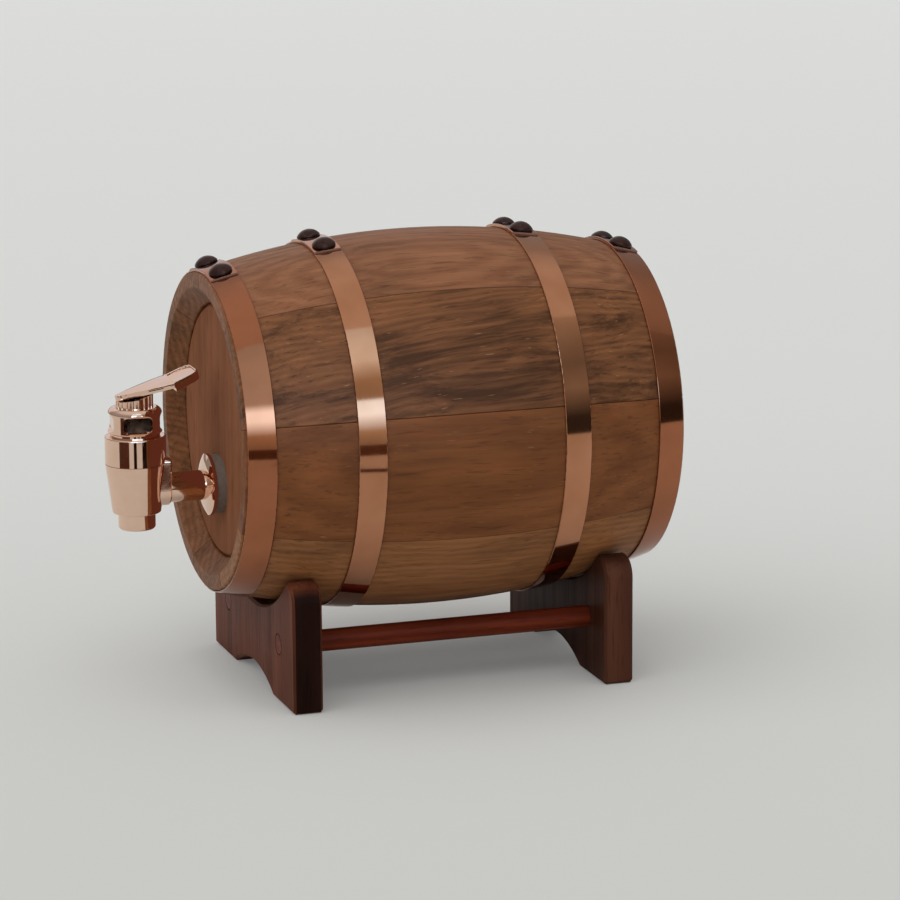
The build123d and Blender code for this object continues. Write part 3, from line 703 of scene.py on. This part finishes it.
def reflector(name, about, azimuths, distance, *bands):
    """A card that only shows in gloss: it stands on end and faces the object.

    Azimuths, in degrees, run from one side of the card to the other, with 0 at -Y and 90 at +X.
    The distance is from the point that it stands about, in metres. The bands are (height above
    the floor, colour, level) from the foot up, and blend from one to the next.
    """
    bpy.ops.object.select_all(action="DESELECT")
    bpy.ops.mesh.primitive_plane_add(size=1)
    card = bpy.context.object
    card.name = name
    start, end = (math.radians(azimuth) for azimuth in azimuths)
    reach = distance / math.cos((end - start) / 2)
    ends = [
        Vector((about.x + reach * math.sin(angle), about.y - reach * math.cos(angle), 0))
        for angle in (start, end)
    ]
    low = bands[0][0]
    high = bands[-1][0]
    corners = [
        ends[0] + Vector((0, 0, low)),
        ends[1] + Vector((0, 0, low)),
        ends[1] + Vector((0, 0, high)),
        ends[0] + Vector((0, 0, high)),
    ]
    # A new plane's corners run row by row, so the upper two change places.
    for vertex, corner in zip((0, 1, 3, 2), corners):
        card.data.vertices[vertex].co = corner
    card.data.update()
    material, tree = new_finish(f"{name}_face")
    place = add_node(tree, "ShaderNodeTexCoord").outputs["Object"]
    height = add_node(tree, "ShaderNodeSeparateXYZ", {"Vector": place}).outputs["Z"]
    share = add_node(
        tree, "ShaderNodeMapRange", {"Value": height, "From Min": low, "From Max": high},
    )
    brightest = max(level for _, _, level in bands)
    stops = []
    for at, colour, level in bands:
        red, green, blue, _ = srgb(colour)
        dim = level / brightest
        stops.append(((at - low) / (high - low), (red * dim, green * dim, blue * dim, 1)))
    face = add_node(tree, "ShaderNodeValToRGB", {"Fac": share}, stops=stops)
    glow = add_node(tree, "ShaderNodeEmission", {"Color": face, "Strength": brightest})
    close_finish(tree, glow)
    card.data.materials.append(material)
    gloss_only(card)


studio_floor()

# Softboxes beside the camera: a bright strip with a dim foot, and a broad light higher up. The
# one at the side has a dim gap between the two.
softbox_distance = 1.2
strip_white = "#a8d4ff"
broad_white = "#d4eeff"
dim_grey = "#b8b4a6"
reflector(
    "front_softbox", cask_centre, (58, 82), softbox_distance,
    (0.04, dim_grey, 0.9), (0.22, dim_grey, 1.4), (0.42, strip_white, 6.5),
    (0.56, strip_white, 6.5), (0.68, broad_white, 1.3), (3.0, broad_white, 1.0),
)
reflector(
    "side_softbox", cask_centre, (82, 107), softbox_distance,
    (0.04, dim_grey, 0.8), (0.2, dim_grey, 1.2), (0.42, strip_white, 4.5),
    (0.6, strip_white, 4.2), (0.64, dim_grey, 1.0), (0.95, dim_grey, 1.1),
    (1.4, broad_white, 1.6), (3.2, broad_white, 1.2),
)
# Flags: one low and near in front of the softboxes, one tall beside them for the rear hoops.
hoop_flag_distance = 0.49
rear_flag_distance = 0.86
flag_brown = "#5e463a"
flag_black = "#3b3937"
flag_grey = "#98968f"
reflector(
    "hoop_flag", cask_centre, (58, 107), hoop_flag_distance,
    (0.016, flag_brown, 1.0), (0.07, flag_brown, 1.0),
)
reflector(
    "rear_flag", cask_centre, (108, 160), rear_flag_distance,
    (0.0, flag_black, 1.0), (0.14, flag_black, 1.0), (0.38, flag_grey, 1.0),
    (0.62, flag_grey, 0.7), (1.3, flag_grey, 1.5),
)
# A pale panel behind the cask, which shows on the lever's plate.
panel_distance = 1.2
reflector(
    "lever_panel", cask_centre, (250, 305), panel_distance,
    (0.2, "#d6d2d4", 1.0), (1.2, "#e4e0e2", 1.0),
)

# Low cards near the tap, which show as dark stripes in its plating, on its boss and in the
# cap's flat. Each has its azimuths, its colour, and its foot and top in millimetres.
tap_card_distance = 0.3
card_brown = "#4a2c22"
card_black = "#1a100c"
tap_cards = {
    "tap_brown_card": ((14, 53), card_brown, 0.0, 33.0),
    "tap_thin_flag": ((70, 81), card_black, 0.0, 33.0),
    "cap_flag": ((86, 98), "#0c0604", 22.5, 35.0),
    "tap_narrow_flag": ((98.5, 102.5), card_black, 0.0, 22.0),
    "boss_flag": ((102.5, 107), card_brown, 0.0, 11.0),
    "tap_black_flag": ((107, 130), card_black, 0.0, 33.0),
}
for name, (azimuths, colour, low, high) in tap_cards.items():
    reflector(
        name, tap_centre, azimuths, tap_card_distance,
        (low * MM, colour, 1.0), (high * MM, colour, 1.0),
    )


head_card_margin = 1.5 * MM
head_card_clearance = 0.3 * MM


def paint_head_reflection():
    """A dark card flat before the front head, which glows and shows only in gloss: a painted
    reflection of the shaded head, which the tap mirrors as a deep red-brown.
    """
    head_low, head_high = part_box("front_head")
    bpy.ops.object.select_all(action="DESELECT")
    bpy.ops.mesh.primitive_circle_add(
        vertices=64, radius=(head_high.x - head_low.x) / 2 - head_card_margin, fill_type="NGON",
        location=(0, head_low.y - head_card_clearance, cask_centre.z), rotation=upright,
    )
    card = bpy.context.object
    card.name = "painted_head_card"
    material, tree = new_finish("head_card_face")
    glow = add_node(
        tree, "ShaderNodeEmission", {"Color": srgb("#5e3428"), "Strength": 1.0},
    )
    close_finish(tree, glow)
    card.data.materials.append(material)
    gloss_only(card)


paint_head_reflection()

lamp_level = 1.3
lamp_spread = math.radians(75)
towards_lamp = Vector((0.25, -0.4, 1))
surround_grey = "#cfcdcb"


def studio_light():
    """A wide soft lamp overhead and an even surround, which gloss sees darker at the horizon."""
    lamp = bpy.data.lights.new("overhead_lamp", "SUN")
    lamp.energy = lamp_level
    lamp.angle = lamp_spread
    overhead = bpy.data.objects.new("overhead_lamp", lamp)
    overhead.rotation_euler = towards_lamp.to_track_quat("Z", "Y").to_euler()
    overhead.visible_glossy = False
    bpy.context.collection.objects.link(overhead)

    world = bpy.data.worlds.new("surround")
    world.use_nodes = True
    world.node_tree.nodes.clear()
    tree = world.node_tree
    direction = add_node(tree, "ShaderNodeTexCoord").outputs["Generated"]
    height = add_node(tree, "ShaderNodeSeparateXYZ", {"Vector": direction}).outputs["Z"]
    sky = add_node(
        tree, "ShaderNodeValToRGB", {"Fac": height},
        stops=[
            (0.0, srgb("#8c8a88")), (0.3, srgb("#94918f")), (0.65, srgb("#a8a6a4")),
            (0.8, srgb(surround_grey)), (1.0, srgb("#d8d6d4")),
        ],
    )
    in_gloss = add_node(tree, "ShaderNodeLightPath").outputs["Is Glossy Ray"]
    seen = add_node(
        tree, "ShaderNodeMix", {"Factor": in_gloss, "A": srgb(surround_grey), "B": sky},
        data_type="RGBA",
    )
    surround = add_node(tree, "ShaderNodeBackground", {"Color": seen, "Strength": 1.0})
    add_node(tree, "ShaderNodeOutputWorld", {"Surface": surround})
    bpy.context.scene.world = world


studio_light()

# ------------------------------------------------------------------ camera
camera_roll = math.radians(-0.355)
camera_distance = 1.3738
camera_target = Vector((0.03324, 0.01425, 0.08098))

camera_lens = bpy.data.cameras.new("camera")
camera_lens.lens = 167.24
camera_lens.sensor_width = 36
camera = bpy.data.objects.new("camera", camera_lens)
towards_camera = Vector((
    math.sin(view_azimuth) * math.cos(view_elevation),
    -math.cos(view_azimuth) * math.cos(view_elevation),
    math.sin(view_elevation),
))
upright_view = towards_camera.to_track_quat("Z", "Y").to_matrix().to_4x4()
camera.matrix_world = (
    Matrix.Translation(camera_target + camera_distance * towards_camera)
    @ upright_view
    @ Matrix.Rotation(camera_roll, 4, "Z")
)
bpy.context.collection.objects.link(camera)
bpy.context.scene.camera = camera
bpy.context.scene.view_settings.view_transform = "Standard"
